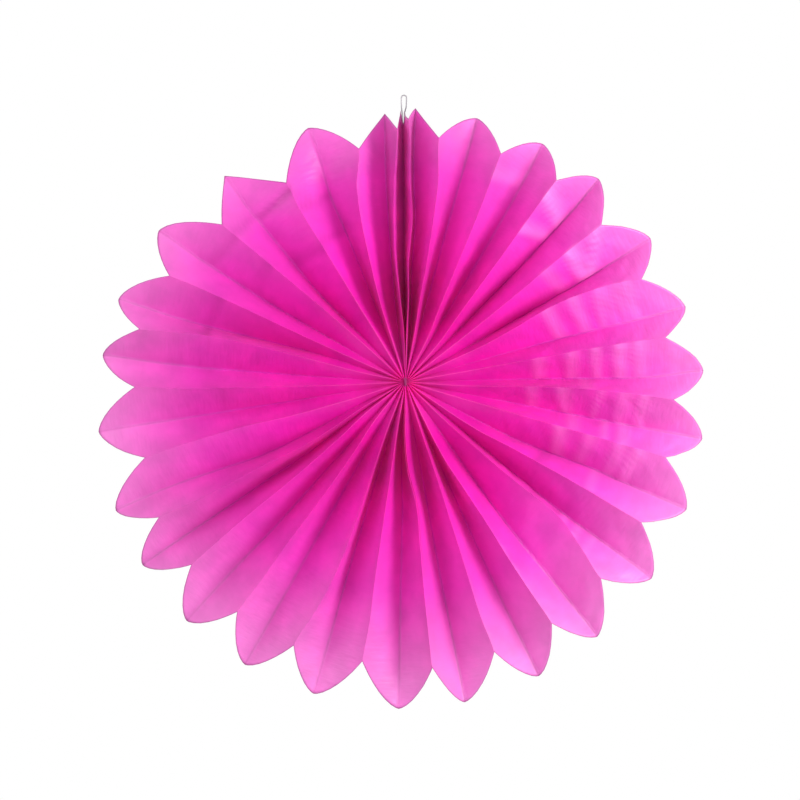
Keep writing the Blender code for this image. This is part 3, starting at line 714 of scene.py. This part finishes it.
# Tissue paper: thin, soft, uncoated and dyed through. It is matt, most of all where it is squeezed at the
# hub, and light from behind comes through it. Pairs are where a thing starts and ends, out from the hub
# or, for a line, away from its fold or edge, or they are its least and most
tissue = {"roughness": 0.4, "hubRoughness": 0.9, "smoother": (4 * mm, 30 * mm), "through": 0.48,
          # painted shade and light: darker and deeper through the gathered middle, paler towards the rim
          "dyeWithPaintedShading": ((0.0, "#E4009C"), (0.02, "#F804C6"), (0.06, "#EC04BA"), (0.1, "#E404AE"),
                      (0.25, "#E806B4"), (0.45, "#F22ACC"), (0.7, "#EE4CD0"), (1.0, "#EF8EDA")),
          "colourReach": 150 * mm, "cloud": 14 * mm, "cloudTone": (0.93, 1.05),
          # painted highlight past raised creases, painted shade past dents
          "paintedCreaseHighlight": "#FFA8EC", "paintedDentShade": "#B4148C", "creaseShare": 0.6,
          # painted highlight along the ridges near the hub
          "paintedRidgeHighlight": "#FF58CC", "ridgeFades": (20 * mm, 90 * mm), "ridgeShare": (0.05, 0.45),
          "ridgeLine": (0.4 * mm, 2.2 * mm), "leavesPart": (3.5 * mm, 12 * mm),
          # painted shade along the valleys near the rim
          "paintedValleyShade": "#C01C92", "valleyShows": (55 * mm, 125 * mm), "valleyShare": 0.12,
          "valleyLine": (1.0 * mm, 5.0 * mm), "rimColour": "#B8589C", "rimShare": 0.5,
          # painted shade in the deep gap of the upper seam
          "rimLine": (0.3 * mm, 0.8 * mm), "paintedSeamShade": "#8A0048", "seamShadeShare": 0.3,
          "seamShadeShows": (28 * mm, 44 * mm), "fibre": 0.5 * mm, "fibreDepth": 0.06 * mm,
          "wrinkle": 3 * mm, "wrinkleDepth": 0.5 * mm, "wrinkleShows": (6 * mm, 40 * mm)}


def tissueMaterial():
    material = bpy.data.materials.new("dyedTissuePaper")
    material.use_nodes = True
    tree = material.node_tree
    shader = tree.nodes["Principled BSDF"]
    shader.inputs["Specular IOR Level"].default_value = 0.5
    shader.inputs["Sheen Weight"].default_value = 0.05
    shader.inputs["Sheen Roughness"].default_value = 0.6
    read = {name: wire(tree, "ShaderNodeAttribute", out="Fac", attribute_name=name)
            for name in ("outward", "toValley", "toRim", "leaf", "paler")}
    place = wire(tree, "ShaderNodeTexCoord", out="Object")
    matt = wire(tree, "ShaderNodeMapRange",
                {"Value": read["outward"], "From Min": tissue["smoother"][0],
                 "From Max": tissue["smoother"][1], "To Min": tissue["hubRoughness"],
                 "To Max": tissue["roughness"]})
    tree.links.new(matt, shader.inputs["Roughness"])

    # The colour out from the hub is painted shade and light: darker and deeper where the gathered leaves
    # lie close together and shade each other, paler towards the rim, where light from behind comes through
    far = wire(tree, "ShaderNodeMapRange", {"Value": read["outward"], "From Max": tissue["colourReach"]})
    ramp = wire(tree, "ShaderNodeValToRGB", (far,), out=None)
    stops = ramp.color_ramp.elements
    while len(stops) < len(tissue["dyeWithPaintedShading"]):
        stops.new(0.5)
    for stop, (position, code) in zip(stops, tissue["dyeWithPaintedShading"]):
        stop.position, stop.color = position, fromHex(code)

    # Uneven dye, then painted highlights past the creases and painted shade past the dents
    cloud = wire(tree, "ShaderNodeTexNoise", {"Vector": place, "Scale": 1 / tissue["cloud"], "Detail": 3.0})
    tone = wire(tree, "ShaderNodeMapRange", {"Value": cloud, "From Min": 0.3, "From Max": 0.7,
                                             "To Min": tissue["cloudTone"][0],
                                             "To Max": tissue["cloudTone"][1]})
    colour = wire(tree, "ShaderNodeVectorMath", {0: ramp.outputs["Color"], "Scale": tone}, operation="SCALE")
    # Painted highlight past each raised crease and painted shade past each dent
    for code, sign in (("paintedCreaseHighlight", 1), ("paintedDentShade", -1)):
        paintedShadingShare = wire(tree, "ShaderNodeMath", (read["paler"], sign * tissue["creaseShare"]),
                    operation="MULTIPLY")
        colour = wire(tree, "ShaderNodeMix", {0: paintedShadingShare, 6: colour, 7: fromHex(tissue[code])}, out=2,
                      data_type="RGBA")

    # Painted highlights as pale lines along the ridges near the hub, painted shade as darker lines in the
    # valleys near the rim and in the gap of the upper seam, and a darker line at the cut edge. Shares across
    # a leaf times the distance from the hub keep lines one width
    fromRidge = wire(tree, "ShaderNodeMath", (read["toValley"], read["outward"]), operation="MULTIPLY")
    toFold = wire(tree, "ShaderNodeMath", (read["outward"], fromRidge), operation="SUBTRACT")
    ranges = []
    for stretch, start, end in (("ridgeFades", tissue["ridgeShare"][1], tissue["ridgeShare"][0]),
                                ("leavesPart", 0.0, 1.0), ("valleyShows", 0.0, tissue["valleyShare"]),
                                ("seamShadeShows", 0.0, 1.0)):
        ranges.append(wire(tree, "ShaderNodeMapRange",
                           {"Value": read["outward"], "From Min": tissue[stretch][0],
                            "From Max": tissue[stretch][1], "To Min": start, "To Max": end}))
    inner, leaves, outer, clear = ranges
    inner = wire(tree, "ShaderNodeMath", (inner, leaves), operation="MULTIPLY")
    # Painted shade on the two leaves beside the upper seam, in its deep gap
    fromSeam = wire(tree, "ShaderNodeMath", (read["leaf"], 14.0), operation="PINGPONG")
    seamShadeMask = wire(tree, "ShaderNodeMapRange", {"Value": fromSeam, "From Min": 0.2, "From Max": 0.4,
                                              "To Min": tissue["seamShadeShare"], "To Max": 0.0})
    seamShadeMask = wire(tree, "ShaderNodeMath", (seamShadeMask, clear), operation="MULTIPLY")
    offValley = wire(tree, "ShaderNodeMath", (1.0, read["toValley"]), operation="SUBTRACT")
    lines = ((fromRidge, tissue["ridgeLine"], inner, "paintedRidgeHighlight"),
             # painted shade along the valleys
             (toFold, tissue["valleyLine"], outer, "paintedValleyShade"),
             (offValley, (0.1, 0.5), seamShadeMask, "paintedSeamShade"),
             (read["toRim"], tissue["rimLine"], tissue["rimShare"], "rimColour"))
    for distance, (near, gone), strength, code in lines:
        share = wire(tree, "ShaderNodeMapRange", {"Value": distance, "From Min": near, "From Max": gone,
                                                  "To Min": strength, "To Max": 0.0})
        colour = wire(tree, "ShaderNodeMix", {0: share, 6: colour, 7: fromHex(tissue[code])}, out=2,
                      data_type="RGBA")
    tree.links.new(colour, shader.inputs["Base Color"])

    # Fibres are finer than a pixel, so they are drawn half a millimetre apart
    fibre = wire(tree, "ShaderNodeTexNoise", {"Vector": place, "Scale": 1 / tissue["fibre"], "Detail": 3.0})
    bump = wire(tree, "ShaderNodeBump", {"Height": fibre, "Strength": 0.25,
                                         "Distance": tissue["fibreDepth"]})
    spot = wire(tree, "ShaderNodeCombineXYZ", {
        "X": wire(tree, "ShaderNodeMath", (read["outward"], tissue["wrinkle"]), operation="DIVIDE"),
        "Y": wire(tree, "ShaderNodeMath", (read["toValley"], 1.6), operation="MULTIPLY"),
        "Z": wire(tree, "ShaderNodeMath", (read["leaf"], 3.1), operation="MULTIPLY")})
    wrinkles = wire(tree, "ShaderNodeTexNoise", {"Vector": spot, "Scale": 1.0, "Detail": 2.0})
    spread = wire(tree, "ShaderNodeMapRange",
                  {"Value": read["outward"], "From Min": tissue["wrinkleShows"][0],
                   "From Max": tissue["wrinkleShows"][1], "To Max": 0.7})
    bump = wire(tree, "ShaderNodeBump", {"Height": wrinkles, "Strength": spread,
                                         "Distance": tissue["wrinkleDepth"], "Normal": bump})
    tree.links.new(bump, shader.inputs["Normal"])

    # The look-through of the sheet
    through = wire(tree, "ShaderNodeBsdfTranslucent", {"Color": colour, "Normal": bump})
    mixed = wire(tree, "ShaderNodeMixShader", (tissue["through"], shader.outputs[0], through))
    tree.links.new(mixed, tree.nodes["Material Output"].inputs["Surface"])
    return material


def buildFan():
    guide = foldLines()
    paper = grown(guide, pleatTree(), {
        "Leaves": fan["lowerSeam"], "Columns": fan["columns"], "Rows": fan["rows"],
        "Row Crowding": fan["rowCrowding"], "Thickness": fan["thickness"], "Billow": fan["billow"],
        "Ripple Height": fan["rippleHeight"], "Ripple Spacing": fan["rippleSpacing"],
        "Facet Height": fan["facetHeight"], "Facet Length": fan["facetLength"],
        "Facet Width": fan["facetWidth"], "Leaf Width": fan["leafWidth"],
        "Wrinkle Height": fan["wrinkleHeight"], "Seed": fan["seed"],
        "Material": tissueMaterial()}, "tissueFan")
    paper.data.transform(Matrix.Translation(hub))
    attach(paper, "root")
    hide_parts("pleated_paper")


buildFan()
print("the fan is folded")


# The thread round the waist: two turns, tied behind
binding = {"diameter": 0.5 * mm, "plies": 3, "lay": 1.4 * mm, "step": 0.2 * mm, "turns": 2,
           "pitch": 0.55 * mm, "clearance": 0.15 * mm, "roundness": 0.7, "turnPoints": 28,
           "knotSize": 0.75 * mm, "knotRise": 1.0 * mm, "knotPoints": 41}


def bindingRoutes():
    bend = binding["clearance"] + binding["diameter"] / 2
    halfDepth, halfHeight = fan["waistDepth"] / 2, fan["waistHeight"] / 2
    points = []
    count = binding["turnPoints"]
    for n in range(binding["turns"] * count + 1):
        turn = math.tau * n / count
        side, end = math.cos(turn), math.sin(turn)
        points.append(Vector((
            binding["pitch"] * (n / count - binding["turns"] / 2),
            math.copysign(abs(side)**binding["roundness"], side) * (halfDepth + bend),
            math.copysign(abs(end)**binding["roundness"], end) * (halfHeight + bend))))
    knot = []
    seat = halfDepth + bend + binding["diameter"]
    for n in range(binding["knotPoints"]):
        turn = math.tau * n / binding["knotPoints"]
        size = binding["knotSize"]
        knot.append(Vector((size * (math.sin(turn) + 2 * math.sin(2 * turn)) / 3,
                            seat + size * 0.5 * (1 - math.sin(3 * turn)) / 1.5,
                            binding["knotRise"] + size * (math.cos(turn) - 2 * math.cos(2 * turn)) / 3)))
    return points, knot


def buildBinding(tree):
    dyed = cottonMaterial("dyedCottonThread", "#B01078", "#7A0A52")
    guide = pathObject("bindingPath", [[hub + p for p in route] for route in bindingRoutes()])
    thread = grown(guide, tree, {"Plies": binding["plies"], "Diameter": binding["diameter"],
                                 "Lay": binding["lay"], "Step": binding["step"], "Material": dyed},
                   "waistBinding")
    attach(thread, "root")
    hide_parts("binding_thread")


buildBinding(threadTree)
print("the waist is tied")

scene.view_settings.view_transform = "Standard"
scene.cycles.diffuse_bounces = 10
